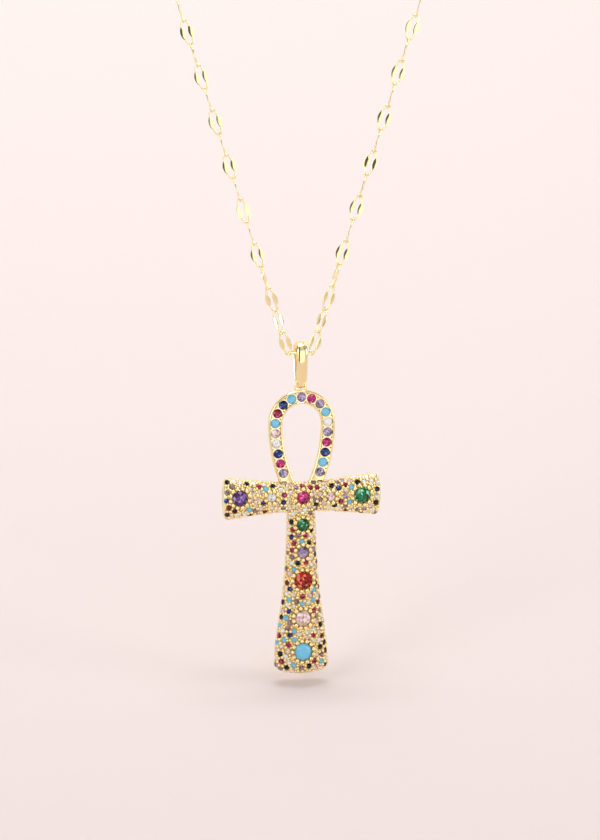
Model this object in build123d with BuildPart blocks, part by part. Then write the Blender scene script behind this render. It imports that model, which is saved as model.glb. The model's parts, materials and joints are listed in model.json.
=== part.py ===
from build123d import *
from math import atan, cos, degrees, pi, radians, sin
import os

os.makedirs("parts", exist_ok=True)

# An ankh pendant set with round stones, hanging on its whole chain as it is worn.
# Millimetres, +Z up, the front faces -Y, and the origin is the middle of the clasp at the nape.

# Chain: lace links with two flat pads, an 18 inch loop
wire_d = 0.28
link_length = 4.56
link_gap = 0.12
link_side = 0.66
link_end_r = 0.46
pad_length = 1.86
pad_width = 0.74
pad_thick = 0.32
pad_offset = 0.02
links_per_side = 57
pitch = link_length - 2 * wire_d - link_gap

# How the chain lies: straight strands to a round nape, upright over the chest
strand_angle = radians(17.5)
chest_height = 80.0
shoulder_r = 75.0
neck_tilt = radians(50)
hook_x = 1.90
hook_y = 0.30
hook_z = -0.35

# Which way the links over the chest face, a little left and up, fading above it
face_turn = radians(12)
face_rise = radians(10)
turn_until = 70.0
turn_gone = 130.0

# Roll of the first links of a strand about their own length, counted from the bail
first_rolls = (32, -44, 32, -72, 5, -86, 0, 89)

# Clasp: a plain barrel with an eye at each end
barrel_r = 1.3
barrel_half = 4.45
barrel_end_r = 0.72
barrel_shoulder = 0.7
barrel_grip = 0.15
barrel_grip_half = 0.25
clasp_eye_x = 5.0
clasp_eye_r = 0.55
clasp_eye_wire_r = 0.16
clasp_hook = clasp_eye_x + clasp_eye_r - clasp_eye_wire_r - link_gap + pitch / 2 - link_length / 2

# Bail: a strap bent to a teardrop round the front link, narrow at its tip for the eye
bail_outer_r = 1.85
bail_band = 0.65
bail_drop = 5.08
bail_width = 1.88
bail_round = 0.22
bail_tip_r = 1.0
bail_tip_inner_r = 0.38
bail_tip_width = 1.04
bail_shoulder_z = -4.7
bail_neck_z = -5.2
bail_cut_z = -7.0

# Eye on top of the ankh
eye_wire_r = 0.21
eye_r = 0.80
eye_bend = 0.40
eye_z = -bail_drop

# Ankh, measured from the axis of the bail's swing
ankh_back = 1.45
back_draft = 0.36
loop_r = 4.45
loop_z = -11.8
leg_x = 1.9
leg_z = -22.9
band_width = 2.4
band_front = 1.25
band_shoulder = 0.75
band_draft = 0.42
channel_width = 1.64
channel_depth = 0.42
bar_z = -24.1
bar_half = 13.35
bar_corner = 3.55
bar_bulge = 0.35
shaft_top = -24.5
shaft_bottom = -53.9
shaft_foot_half = 4.62
foot_bulge = 0.85
corner_round = 0.9
edge_y = 0.1
outline_reach = 6.0

# Stones
stone_gap = 0.04
stone_headroom = 1.0
stone_sides = 16
table_part = 0.56
crown_part = 0.15
girdle_part = 0.04
pavilion_part = 0.42
culet_part = 0.06
collar = 0.28
loop_stone_d = 1.52
loop_stone_pitch = 1.71
loop_girdle = 0.86
loop_stones_per_side = 9

# Bow-tie bar: half height and front of its section at each distance from the middle
bar_sections = (
    # from middle, half height, front
    (0.0, 2.46, 2.05),
    (4.0, 2.60, 2.05),
    (8.5, 3.05, 2.00),
    (13.6, 3.62, 1.55),
)

# Shaft: half width and front of its section at each height
shaft_sections = (
    # height, half width, front
    (-24.5, 2.42, 1.75),
    (-33.5, 2.60, 1.80),
    (-41.0, 3.22, 1.90),
    (-48.0, 4.30, 1.90),
    (-54.2, 4.72, 1.50),
)

main_stones = (
    # name, x, z, diameter, girdle height above the middle plane
    ("stone_amethyst", -10.65, -23.75, 2.50, 2.00),
    ("stone_clear", -5.30, -23.80, 1.45, 2.15),
    ("stone_fuchsia", 0.0, -24.00, 2.00, 2.20),
    ("stone_pale_pink", 4.65, -24.00, 1.50, 2.15),
    ("stone_emerald", 10.0, -24.00, 2.60, 2.00),
    ("stone_small_emerald", 0.0, -28.65, 1.95, 1.95),
    ("stone_lavender", 0.0, -33.30, 1.85, 1.97),
    ("stone_garnet", 0.0, -38.00, 2.85, 2.10),
    ("stone_rose", 0.0, -44.40, 2.60, 2.10),
    ("stone_turquoise", 0.0, -50.10, 2.85, 2.10),
)


def strand_radius():
    """Radius of the round nape that gives each strand its length."""
    half_length = links_per_side * pitch + clasp_hook
    straight_per_r = cos(strand_angle) / sin(strand_angle)
    return (half_length + hook_x / sin(strand_angle)) / (straight_per_r + pi / 2 + strand_angle)


nape_r = strand_radius()
straight_length = (nape_r * cos(strand_angle) - hook_x) / sin(strand_angle)
nape_centre = straight_length * cos(strand_angle) + nape_r * sin(strand_angle)


def flat_strand(s):
    """Sideways place and height of a strand laid flat, s along it from the bail."""
    if s < straight_length:
        return hook_x + s * sin(strand_angle), s * cos(strand_angle)
    turn = (s - straight_length) / nape_r - strand_angle
    return nape_r * cos(turn), nape_centre + nape_r * sin(turn)


def worn(height):
    """Depth, height and tilt of the chain where it goes over chest, shoulder and neck."""
    bend = min(max((height - chest_height) / shoulder_r, 0), neck_tilt)
    past = max(height - chest_height - shoulder_r * neck_tilt, 0)
    depth = shoulder_r * (1 - cos(bend)) + past * sin(bend)
    rise = min(height, chest_height) + shoulder_r * sin(bend) + past * cos(bend)
    return hook_y + depth, hook_z + rise, bend


def strand_point(s, side):
    across, height = flat_strand(s)
    depth, rise, _ = worn(height)
    return Vector(side * across, depth, rise)


nape_depth, nape_rise, nape_tilt = worn(nape_centre + nape_r)
hang = Location((0, -nape_depth, -nape_rise))


def link_place(number, side):
    """Where one link of a strand lies: local Y is its length and local Z its face."""
    start = strand_point(number * pitch, side)
    end = strand_point((number + 1) * pitch, side)
    along = (end - start).normalized()
    roll = first_rolls[number] if number < len(first_rolls) else 90 * (number % 2)
    height = flat_strand((number + 0.5) * pitch)[1]
    part_turned = min(max((turn_gone - height) / (turn_gone - turn_until), 0), 1)
    turn, rise = face_turn * part_turned, worn(height)[2] + face_rise * part_turned
    outward = Vector(-sin(turn) * cos(rise), -cos(turn) * cos(rise), sin(rise))
    across = along.cross(outward).normalized()
    face = across.cross(along)
    turned = face * cos(radians(roll)) + along.cross(face) * sin(radians(side * roll))
    return Location(Plane(origin=(start + end) * 0.5, x_dir=along.cross(turned), z_dir=turned))


# One link: an oval of round wire with a flat lens pad on each side
link_half = link_length / 2 - wire_d / 2
end_reach = link_half - link_end_r
side_r = (end_reach**2 + link_side**2 - link_end_r**2) / (2 * (link_side - link_end_r))
side_sweep = degrees(atan(end_reach / (side_r - link_side)))

with BuildPart() as link:
    with BuildLine() as oval:
        for turn in (0, 180):
            swing = 1 if turn == 0 else -1
            CenterArc((swing * (link_side - side_r), 0), side_r, turn - side_sweep, 2 * side_sweep)
            CenterArc(
                (0, swing * end_reach), link_end_r, turn + side_sweep, 180 - 2 * side_sweep
            )
    with BuildSketch(Plane(origin=(link_side, 0, 0), z_dir=(0, 1, 0))):
        Circle(wire_d / 2)
    sweep(path=oval.wire())
    for side in (-1, 1):
        middle = side * (link_side + pad_offset)
        with BuildSketch(Plane.XY.offset(-pad_thick / 2)) as lens:
            with BuildLine():
                tips = [(middle, -pad_length / 2), (middle, pad_length / 2)]
                ThreePointArc(tips[0], (middle + pad_width / 2, 0), tips[1])
                ThreePointArc(tips[0], (middle - pad_width / 2, 0), tips[1])
            make_face()
        extrude(amount=pad_thick)

# The two strands, each a run of links from the bail to the clasp
for strand_name, side in (("chain_left", -1), ("chain_right", 1)):
    places = [link_place(number, side) for number in range(links_per_side)]
    strand = Compound(children=[link.part.solid().moved(hang * place) for place in places])
    strand.label = strand_name
    export_step(strand, f"parts/{strand_name}.step")

# The link that carries the bail, lying across it
lying_across = Plane(origin=(0, 0, 0), x_dir=(0, 1, 0), z_dir=(0, 0, -1))
front_link = link.part.moved(hang * Location(lying_across))
front_link.label = "front_link"
export_step(front_link, "parts/front_link.step")

# Barrel clasp at the nape, its eyes in the plane that the end links don't lie in
with BuildPart() as clasp:
    with BuildSketch(Plane.XY):
        with BuildLine():
            Polyline(
                (-barrel_half, 0),
                (-barrel_half, barrel_end_r),
                (-barrel_half + barrel_shoulder, barrel_r),
                (-barrel_grip_half, barrel_r),
                (-barrel_grip_half, barrel_r + barrel_grip),
                (barrel_grip_half, barrel_r + barrel_grip),
                (barrel_grip_half, barrel_r),
                (barrel_half - barrel_shoulder, barrel_r),
                (barrel_half, barrel_end_r),
                (barrel_half, 0),
                close=True,
            )
        make_face()
    revolve(axis=Axis.X)
    with Locations((-clasp_eye_x, 0, 0), (clasp_eye_x, 0, 0)):
        Torus(clasp_eye_r, clasp_eye_wire_r)

along_neck = Plane(origin=(0, 0, 0), x_dir=(1, 0, 0), z_dir=(0, sin(nape_tilt), cos(nape_tilt)))
clasp.part.label = "clasp"
export_step(clasp.part.moved(Location(along_neck)), "parts/clasp.step")

# Bail
with BuildPart() as bail:
    with BuildSketch(Plane.YZ):
        Circle(bail_outer_r)
        with Locations((0, -bail_drop)):
            Circle(bail_tip_r)
        make_hull()
    extrude(amount=bail_width / 2, both=True)
    with BuildSketch(Plane.YZ):
        Circle(bail_outer_r - bail_band)
        with Locations((0, -bail_drop)):
            Circle(bail_tip_inner_r)
        make_hull()
    extrude(amount=bail_width, both=True, mode=Mode.SUBTRACT)
    rims = bail.edges().filter_by_position(Axis.X, -bail_width / 2, -bail_width / 2)
    rims += bail.edges().filter_by_position(Axis.X, bail_width / 2, bail_width / 2)
    fillet(rims, bail_round)
    for side in (-1, 1):
        with BuildSketch(Plane.XZ):
            with BuildLine():
                Polyline(
                    (side * bail_tip_width / 2, bail_neck_z),
                    (side * bail_width, bail_shoulder_z),
                    (side * bail_width, bail_cut_z),
                    (side * bail_tip_width / 2, bail_cut_z),
                    close=True,
                )
            make_face()
        extrude(amount=bail_outer_r, both=True, mode=Mode.SUBTRACT)

bail.part.label = "bail"
export_step(bail.part.moved(hang), "parts/bail.step")


def dome_section(plane, half, front):
    """Flat back, short slanting sides and a round front, drawn across local X."""
    back_half = half - back_draft
    with BuildSketch(plane) as section:
        with BuildLine():
            Polyline((-half, edge_y), (-back_half, -ankh_back), (back_half, -ankh_back), (half, edge_y))
            ThreePointArc((-half, edge_y), (0, front), (half, edge_y))
        make_face()
    return section.sketch


# Bow-tie bar, cut to its rounded outline
with BuildPart() as bar:
    rows = [(-x, half, front) for x, half, front in bar_sections[:0:-1]] + list(bar_sections)
    loft([
        dome_section(Plane(origin=(x, 0, bar_z), x_dir=(0, 0, 1), z_dir=(1, 0, 0)), half, front)
        for x, half, front in rows
    ])
    with BuildSketch(Plane.XZ.offset(-ankh_back)) as bar_outline:
        with BuildLine():
            for side in (-1, 1):
                corner = (side * (bar_half - bar_bulge), bar_z + side * bar_corner)
                end = (corner[0], bar_z - side * bar_corner)
                ThreePointArc(corner, (side * bar_half, bar_z), end)
                Line(end, (-corner[0], end[1]))
        make_face()
        fillet(bar_outline.vertices(), corner_round)
    extrude(amount=outline_reach, mode=Mode.INTERSECT)

# Flared shaft, cut to its rounded foot
with BuildPart() as shaft:
    loft([
        dome_section(Plane(origin=(0, 0, z), x_dir=(1, 0, 0), z_dir=(0, 0, -1)), half, front)
        for z, half, front in shaft_sections
    ])
    foot_corner = (shaft_foot_half, shaft_bottom + foot_bulge)
    with BuildSketch(Plane.XZ.offset(-ankh_back)) as shaft_outline:
        with BuildLine():
            Polyline(
                (-foot_corner[0], foot_corner[1]),
                (-foot_corner[0], shaft_top),
                (foot_corner[0], shaft_top),
                foot_corner,
            )
            ThreePointArc(foot_corner, (0, shaft_bottom), (-foot_corner[0], foot_corner[1]))
        make_face()
        foot = shaft_outline.vertices().group_by(Axis.Z)[0]
        fillet(foot, corner_round)
    extrude(amount=outline_reach, mode=Mode.INTERSECT)

# Teardrop loop, a band with a channel for its row of stones
with BuildPart() as teardrop:
    with BuildLine(Plane.XZ) as loop_line:
        crown = CenterArc((0, loop_z), loop_r, 0, 180)
        right_leg = TangentArc(crown @ 0, (leg_x, leg_z), tangent=(0, -1))
        left_leg = TangentArc(crown @ 1, (-leg_x, leg_z), tangent=(0, -1))
    start = left_leg @ 1
    with BuildSketch(Plane(origin=start, x_dir=(0, -1, 0), z_dir=left_leg % 1)) as band:
        with BuildLine():
            side_half = band_width / 2
            back_half = side_half - band_draft
            channel_half = channel_width / 2
            floor = band_front - channel_depth
            Polyline(
                (band_shoulder, side_half),
                (-ankh_back, back_half),
                (-ankh_back, -back_half),
                (band_shoulder, -side_half),
                (band_front, -channel_half),
                (floor, -channel_half),
                (floor, channel_half),
                (band_front, channel_half),
                close=True,
            )
        make_face()
    sweep(path=loop_line.wire())


def loop_point(s, side):
    """A place on the middle of the band, s along it from the top."""
    quarter = crown.length / 2
    on_crown = crown @ (0.5 - s / crown.length)
    on_leg = right_leg @ max((s - quarter) / right_leg.length, 0)
    place = on_crown if s < quarter else on_leg
    return side * place.X, place.Z


def stone_plane(x, height, z):
    """The girdle plane of a stone, its table towards the front."""
    return Plane(origin=(x, -height, z), x_dir=(1, 0, 0), z_dir=(0, -1, 0))


# Every stone by name, with its girdle plane and diameter
stones = {name: (stone_plane(x, height, z), size) for name, x, z, size, height in main_stones}
for number in range(-loop_stones_per_side, loop_stones_per_side + 1):
    side = -1 if number < 0 else 1
    x, z = loop_point(abs(number) * loop_stone_pitch, side)
    side_name = ("left", "right")[number > 0] if number else "top"
    name = f"stone_loop_{side_name}_{abs(number)}" if number else "stone_loop_top"
    stones[name] = (stone_plane(x, loop_girdle, z), loop_stone_d)

# The ankh, one casting with its eye
with BuildPart() as ankh_body:
    add(teardrop.part)
    add(bar.part)
    add(shaft.part)
    with BuildLine(Plane.XZ) as eye_line:
        eye_foot = loop_z + loop_r
        Line((-eye_r, eye_foot), (-eye_r, eye_z - eye_bend))
        CenterArc((-eye_r + eye_bend, eye_z - eye_bend), eye_bend, 180, -90)
        Line((-eye_r + eye_bend, eye_z), (eye_r - eye_bend, eye_z))
        CenterArc((eye_r - eye_bend, eye_z - eye_bend), eye_bend, 90, -90)
        Line((eye_r, eye_z - eye_bend), (eye_r, eye_foot))
    with BuildSketch(Plane(origin=(-eye_r, 0, eye_foot), z_dir=(0, 0, 1))):
        Circle(eye_wire_r)
    sweep(path=eye_line.wire())
    for _, x, z, diameter, height in main_stones:
        with Locations(stone_plane(x, height, z)):
            Cylinder(
                diameter / 2 + collar,
                height + girdle_part * diameter,
                align=(Align.CENTER, Align.CENTER, Align.MAX),
            )
    for plane, diameter in stones.values():
        with Locations(plane):
            Cylinder(
                diameter / 2 + stone_gap,
                crown_part * diameter + stone_headroom,
                align=(Align.CENTER, Align.CENTER, Align.MIN),
                mode=Mode.SUBTRACT,
            )
            Cone(
                culet_part * diameter,
                diameter / 2 + stone_gap,
                (pavilion_part + culet_part) * diameter,
                align=(Align.CENTER, Align.CENTER, Align.MAX),
                mode=Mode.SUBTRACT,
            )

ankh_body.part.label = "ankh_body"
export_step(ankh_body.part.moved(hang), "parts/ankh_body.step")

# Round stones with a table, 16 crown facets, a girdle and 16 pavilion facets
for name, (plane, diameter) in stones.items():
    with BuildPart() as stone:
        with BuildSketch(plane):
            RegularPolygon(diameter / 2, stone_sides)
        extrude(amount=girdle_part * diameter)
        rise = crown_part * diameter
        lean = degrees(atan((1 - table_part) / 2 / crown_part))
        extrude(stone.faces().sort_by(Axis.Y)[0], amount=rise, taper=lean)
        with BuildSketch(plane):
            RegularPolygon(diameter / 2, stone_sides)
        depth = pavilion_part * diameter
        extrude(amount=-depth, taper=degrees(atan((0.5 - culet_part) / pavilion_part)))
    stone.part.label = name
    export_step(stone.part.moved(hang), f"parts/{name}.step")
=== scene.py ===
import json
import math
import random

import bmesh
import bpy
import numpy as np
from mathutils import Matrix, Vector
from mathutils.bvhtree import BVHTree


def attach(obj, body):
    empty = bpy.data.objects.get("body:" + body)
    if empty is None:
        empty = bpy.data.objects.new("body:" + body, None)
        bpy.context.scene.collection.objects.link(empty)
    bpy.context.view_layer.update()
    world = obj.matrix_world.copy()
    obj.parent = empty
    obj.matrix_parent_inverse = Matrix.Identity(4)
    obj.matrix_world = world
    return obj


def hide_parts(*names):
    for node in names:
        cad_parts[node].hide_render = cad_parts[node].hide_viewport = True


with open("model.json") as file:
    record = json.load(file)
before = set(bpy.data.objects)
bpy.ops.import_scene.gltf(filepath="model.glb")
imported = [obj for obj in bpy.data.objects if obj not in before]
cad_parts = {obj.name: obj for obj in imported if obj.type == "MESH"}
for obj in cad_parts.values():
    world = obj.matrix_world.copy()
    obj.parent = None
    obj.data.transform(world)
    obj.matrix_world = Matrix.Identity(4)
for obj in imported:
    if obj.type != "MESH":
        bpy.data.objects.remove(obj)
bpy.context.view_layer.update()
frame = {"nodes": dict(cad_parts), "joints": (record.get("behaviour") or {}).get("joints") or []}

mm = 0.001
jointPlaces = {joint["name"]: Vector(joint["pos_m"]) for joint in frame["joints"]}
hangPoint = jointPlaces["bail_swing"]  # the pendant is measured in mm from here

# Camera
view = {
    "azimuth": -12.0,
    "elevation": 10.0,
    "distance": 900.0,
    "pixel": 0.165,  # mm to a photo pixel where the pendant hangs
    "imageSize": (600, 840),
    "hangPixel": (300.5, 352.2),
}


def viewAxes():
    a, e = math.radians(view["azimuth"]), math.radians(view["elevation"])
    back = Vector((math.sin(a) * math.cos(e), -math.cos(a) * math.cos(e), math.sin(e)))
    right = Vector((math.cos(a), math.sin(a), 0))
    return right, back.cross(right), back


def makeCamera():
    right, up, back = viewAxes()
    width, height = view["imageSize"]
    offX = (width / 2 - view["hangPixel"][0]) * view["pixel"] * mm
    offY = (view["hangPixel"][1] - height / 2) * view["pixel"] * mm
    data = bpy.data.cameras.new("photoCamera")
    data.sensor_width = 36
    data.lens = 36 * view["distance"] / (height * view["pixel"])
    data.clip_start, data.clip_end = 0.05, 20
    camera = bpy.data.objects.new("photoCamera", data)
    bpy.context.collection.objects.link(camera)
    turn = Matrix((right, up, back)).transposed()
    place = hangPoint + right * offX + up * offY + back * view["distance"] * mm
    camera.matrix_world = Matrix.Translation(place) @ turn.to_4x4()
    bpy.context.scene.camera = camera
    return camera


def pixelRay(pixel):
    right, up, back = viewAxes()
    offX = (pixel[0] - view["imageSize"][0] / 2) * view["pixel"] * mm
    offY = (view["imageSize"][1] / 2 - pixel[1]) * view["pixel"] * mm
    eye = camera.matrix_world.translation
    through = eye - back * view["distance"] * mm + right * offX + up * offY
    return eye, (through - eye).normalized()


camera = makeCamera()
print("camera ready")


# Mesh helpers
def newPiece(name, verts, faces):
    mesh = bpy.data.meshes.new(name)
    mesh.from_pydata([tuple(v) for v in verts], [], [tuple(f) for f in faces])
    mesh.validate()
    piece = bpy.data.objects.new(name, mesh)
    bpy.context.collection.objects.link(piece)
    return piece


def softShade(piece, angle=35):
    piece.data.shade_smooth()
    piece.data.set_sharp_from_angle(angle=math.radians(angle))


def fromHang(points):
    # millimetres from the bail's swing to metres in the frame
    return np.asarray(points, float) * mm + np.array(hangPoint)


def ringSkin(rings, closedAround=True, closedAlong=False, caps=True):
    # faces over equal rings of points
    count, size = len(rings), len(rings[0])
    faces = []
    for i in range(count if closedAlong else count - 1):
        for j in range(size if closedAround else size - 1):
            a, b = i * size + j, i * size + (j + 1) % size
            nextRing = ((i + 1) % count - i) * size
            faces.append((a, b, b + nextRing, a + nextRing))
    if caps and not closedAlong:
        faces.append(tuple(range(size))[::-1])
        faces.append(tuple((count - 1) * size + j for j in range(size)))
    return faces


def joinMeshes(parts):
    # one list of points and faces from several
    verts, faces, start = [], [], 0
    for partVerts, partFaces in parts:
        verts.append(np.asarray(partVerts, float))
        faces += [tuple(start + i for i in face) for face in partFaces]
        start += len(partVerts)
    return np.vstack(verts), faces


def outward(piece):
    bm = bmesh.new()
    bm.from_mesh(piece.data)
    bmesh.ops.recalc_face_normals(bm, faces=bm.faces)
    bm.to_mesh(piece.data)
    bm.free()


def combine(piece, other, how):
    # boolean of two closed meshes, the second used up
    step = piece.modifiers.new("combine", "BOOLEAN")
    step.operation, step.object, step.solver = how, other, "MANIFOLD"
    graph = bpy.context.evaluated_depsgraph_get()
    mesh = bpy.data.meshes.new_from_object(piece.evaluated_get(graph))
    piece.modifiers.clear()
    old, piece.data = piece.data, mesh
    bpy.data.meshes.remove(old)
    bpy.data.objects.remove(other)
    return piece


def smoothTable(rows, t):
    # a smooth curve through (place, value, ...) rows, mirrored at the first
    places = [row[0] for row in rows]
    t = min(max(t, places[0]), places[-1])
    k = min(max(int(np.searchsorted(places, t)) - 1, 0), len(rows) - 2)
    values = []
    for column in range(1, len(rows[0])):
        y = [row[column] for row in rows]
        slope = [0.0] * len(rows)
        for i in range(1, len(rows)):
            j = min(i + 1, len(rows) - 1)
            slope[i] = (y[j] - y[i - 1]) / (places[j] - places[i - 1])
        h = places[k + 1] - places[k]
        u = (t - places[k]) / h
        values.append(
            (2 * u**3 - 3 * u**2 + 1) * y[k]
            + (u**3 - 2 * u**2 + u) * h * slope[k]
            + (3 * u**2 - 2 * u**3) * y[k + 1]
            + (u**3 - u**2) * h * slope[k + 1]
        )
    return values


# Materials
# Golds: two colours, roughness from and to, size of the grain, bump strength
goldFinishes = {
    "castGold": ((1.0, 0.87, 0.52), (0.96, 0.78, 0.40), (0.07, 0.17), 900.0, 0.03),
    # the second gold is painted shade: a dark brown gold laid on the seat walls and on the ground
    # between the stones, where shade falls
    "paintedShadeGold": ((0.60, 0.42, 0.16), (0.46, 0.30, 0.10), (0.22, 0.4), 900.0, 0.03),
    "chainGold": ((1.0, 0.87, 0.52), (0.96, 0.78, 0.40), (0.05, 0.12), 600.0, 0.02),
}
goldCloud = {"scale": 260.0, "detail": 3.0, "from": (0.3, 0.7), "grainDetail": 2.0, "depth": 0.00004}


def addNode(tree, kind, **settings):
    node = tree.nodes.new(kind)
    for key, value in settings.items():
        setattr(node, key, value)
    return node


def makeNoise(tree, scale, detail=2.0):
    noise = addNode(tree, "ShaderNodeTexNoise")
    noise.inputs["Scale"].default_value = scale
    noise.inputs["Detail"].default_value = detail
    return noise


def makeRange(tree, low, high, to=(0.0, 1.0)):
    node = addNode(tree, "ShaderNodeMapRange")
    node.inputs["From Min"].default_value, node.inputs["From Max"].default_value = low, high
    node.inputs["To Min"].default_value, node.inputs["To Max"].default_value = to
    return node


def makeTint(tree, first, second):
    tint = addNode(tree, "ShaderNodeMix", data_type="RGBA")
    tint.inputs["A"].default_value = (*first, 1)
    tint.inputs["B"].default_value = (*second, 1)
    return tint


def makeRamp(tree, stops):
    # colour ramp through (place, colour) stops
    ramp = addNode(tree, "ShaderNodeValToRGB")
    while len(ramp.color_ramp.elements) < len(stops):
        ramp.color_ramp.elements.new(0.5)
    for element, (place, tone) in zip(ramp.color_ramp.elements, stops):
        element.position = place
        element.color = (*tone, 1)
    return ramp


def goldMaterial(name, pale, deep, roughness, grainSize, bumpStrength):
    # polished pale gold with faint uneven polish
    material = bpy.data.materials.new(name)
    material.use_nodes = True
    tree = material.node_tree
    shader = tree.nodes["Principled BSDF"]
    shader.inputs["Metallic"].default_value = 1.0
    where = addNode(tree, "ShaderNodeTexCoord")
    cloud = makeNoise(tree, goldCloud["scale"], goldCloud["detail"])
    tint = makeTint(tree, pale, deep)
    polish = makeRange(tree, *goldCloud["from"], roughness)
    grain = makeNoise(tree, grainSize, goldCloud["grainDetail"])
    bump = addNode(tree, "ShaderNodeBump")
    bump.inputs["Strength"].default_value = bumpStrength
    bump.inputs["Distance"].default_value = goldCloud["depth"]
    link = tree.links.new
    link(where.outputs["Object"], cloud.inputs["Vector"])
    link(where.outputs["Object"], grain.inputs["Vector"])
    link(cloud.outputs["Fac"], tint.inputs["Factor"])
    link(cloud.outputs["Fac"], polish.inputs["Value"])
    link(tint.outputs["Result"], shader.inputs["Base Color"])
    link(polish.outputs["Result"], shader.inputs["Roughness"])
    link(grain.outputs["Fac"], bump.inputs["Height"])
    link(bump.outputs["Normal"], shader.inputs["Normal"])
    return material


# Stones: body colour, glint colour (a painted glint on the lightest facets), transmission, index,
# roughness
stoneFinishes = {
    "clear": ((0.96, 0.94, 0.92), (1.0, 1.0, 1.0), 0.1, 1.6, 0.03),
    "champagne": ((0.92, 0.74, 0.58), (1.0, 0.96, 0.88), 0.1, 1.55, 0.04),
    "palePink": ((0.90, 0.62, 0.60), (1.0, 0.92, 0.90), 0.1, 1.55, 0.04),
    "taupe": ((0.30, 0.20, 0.22), (0.75, 0.62, 0.66), 0.1, 1.45, 0.04),
    "lilac": ((0.36, 0.26, 0.46), (0.88, 0.80, 0.98), 0.1, 1.5, 0.04),
    "purple": ((0.13, 0.045, 0.24), (0.62, 0.45, 0.85), 0.1, 1.4, 0.04),
    "fuchsia": ((0.55, 0.01, 0.17), (1.0, 0.30, 0.58), 0.1, 1.4, 0.04),
    "ruby": ((0.33, 0.006, 0.06), (0.95, 0.20, 0.42), 0.1, 1.4, 0.04),
    "garnet": ((0.13, 0.005, 0.008), (0.50, 0.10, 0.09), 0.1, 1.4, 0.04),
    "red": ((0.42, 0.014, 0.005), (1.0, 0.28, 0.16), 0.1, 1.4, 0.04),
    "green": ((0.003, 0.15, 0.05), (0.42, 1.0, 0.66), 0.1, 1.4, 0.04),
    "blue": ((0.004, 0.02, 0.15), (0.15, 0.32, 0.85), 0.1, 1.4, 0.04),
    "navy": ((0.002, 0.003, 0.008), (0.10, 0.12, 0.26), 0.0, 1.33, 0.05),
    "turquoise": ((0.16, 0.52, 0.76), (0.30, 0.66, 0.88), 0.0, 1.5, 0.16),
}
# Ramp of the painted facet light: a painted deep shade, the body colour, a painted lit tone, then the
# glint colour; the cloud adds a faint random tone
paintedFacetTones = {"deep": 0.12, "bodyAt": 0.42, "lit": 1.25, "litAt": 0.74, "cloud": 0.1,
              "cloudScale": 1500.0}


def stoneMaterial(name, body, glint, transmission, index, roughness):
    # cut stone whose facets run from a painted deep shade over the body colour to a painted glint,
    # standing in for the light inside the stone
    material = bpy.data.materials.new(name)
    material.use_nodes = True
    tree = material.node_tree
    shader = tree.nodes["Principled BSDF"]
    shader.inputs["IOR"].default_value = index
    shader.inputs["Roughness"].default_value = roughness
    shader.inputs["Transmission Weight"].default_value = transmission
    facet = addNode(tree, "ShaderNodeAttribute", attribute_name="paintedFacetLight")
    where = addNode(tree, "ShaderNodeTexCoord")
    cloud = makeNoise(tree, paintedFacetTones["cloudScale"])
    shade = addNode(tree, "ShaderNodeMath", operation="MULTIPLY_ADD")
    shade.inputs[1].default_value = paintedFacetTones["cloud"]
    tones = makeRamp(tree, (
        (0.0, [c * paintedFacetTones["deep"] for c in body]),
        (paintedFacetTones["bodyAt"], body),
        (paintedFacetTones["litAt"], [min(c * paintedFacetTones["lit"], 1) for c in body]),
        (1.0, glint),
    ))
    link = tree.links.new
    link(where.outputs["Object"], cloud.inputs["Vector"])
    link(cloud.outputs["Fac"], shade.inputs[0])
    link(facet.outputs["Fac"], shade.inputs[2])
    link(shade.outputs["Value"], tones.inputs["Fac"])
    link(tones.outputs["Color"], shader.inputs["Base Color"])
    return material


castGold, paintedShadeGold, chainGold = (
    goldMaterial(name, *finish) for name, finish in goldFinishes.items()
)
stoneMaterials = {
    name: stoneMaterial(f"{name}Stone", *finish) for name, finish in stoneFinishes.items()
}

# Cast body of the ankh, in mm from the bail's swing, front towards -Y
cast = {
    "back": 1.45,
    "edgeFront": 0.05,
    "backRound": 0.4,
    "draft": 0.36,  # how much narrower the back is on each side
    "domePower": 2.25,
    "barZ": -24.1,
    "barHalf": 13.35,
    "barBulge": 0.35,
    "barRows": ((0.0, 2.46, 2.05), (4.0, 2.60, 2.05), (8.5, 3.05, 2.00), (13.35, 3.62, 1.70)),
    "shaftTop": -22.6,
    "shaftFoot": -53.05,
    "footBulge": 0.85,
    "shaftRows": (
        (22.6, 2.38, 1.70), (28.0, 2.45, 1.75), (33.5, 2.62, 1.80), (41.0, 3.24, 1.90),
        (48.0, 4.28, 1.92), (53.05, 4.68, 1.80),
    ),
    "cornerRound": 0.95,
    "edgeRound": 0.5,
    "loopR": 4.45,
    "loopZ": -11.8,
    "legEnd": (1.9, -22.9),
    "eyeR": 0.80,
    "eyeBend": 0.4,
    "eyeWire": 0.22,
    "eyeZ": -5.08,
}


def domeRing(half, front, inset):
    # one closed section: flat back with round corners, short sides, full dome
    front, back = front - inset, cast["back"] - inset
    r, rear = cast["backRound"], half - cast["draft"]
    points = [(x * (rear - r), back) for x in np.linspace(-1, 1, 9)]
    for a in np.linspace(0, math.pi / 2, 6)[1:]:
        points.append((rear - r + r * math.sin(a), back - r + r * math.cos(a)))
    side = -cast["edgeFront"]
    p = 2 / cast["domePower"]
    for a in np.linspace(-math.pi / 2, math.pi / 2, 41):
        s, c = math.sin(-a), math.cos(a)
        points.append((half * math.copysign(abs(s) ** p, s), side - (front + side) * c**p))
    for a in np.linspace(math.pi / 2, 0, 6)[:-1]:
        points.append((-(rear - r) - r * math.sin(a), back - r + r * math.cos(a)))
    return points


def endDraft(gap, y):
    # how far a point near a free end stands back from it, more towards the rear
    share = max(y + cast["edgeFront"], 0) / (cast["back"] + cast["edgeFront"])
    return cast["draft"] * share * max(1 - gap / 2, 0)


def endInset(gap):
    # how far a section draws in at its sides and faces, near a free end
    corner, edge = cast["cornerRound"], cast["edgeRound"]
    c, e = max(corner - gap, 0), max(edge - gap, 0)
    return corner - math.sqrt(corner**2 - c**2), edge - math.sqrt(edge**2 - e**2)


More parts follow.
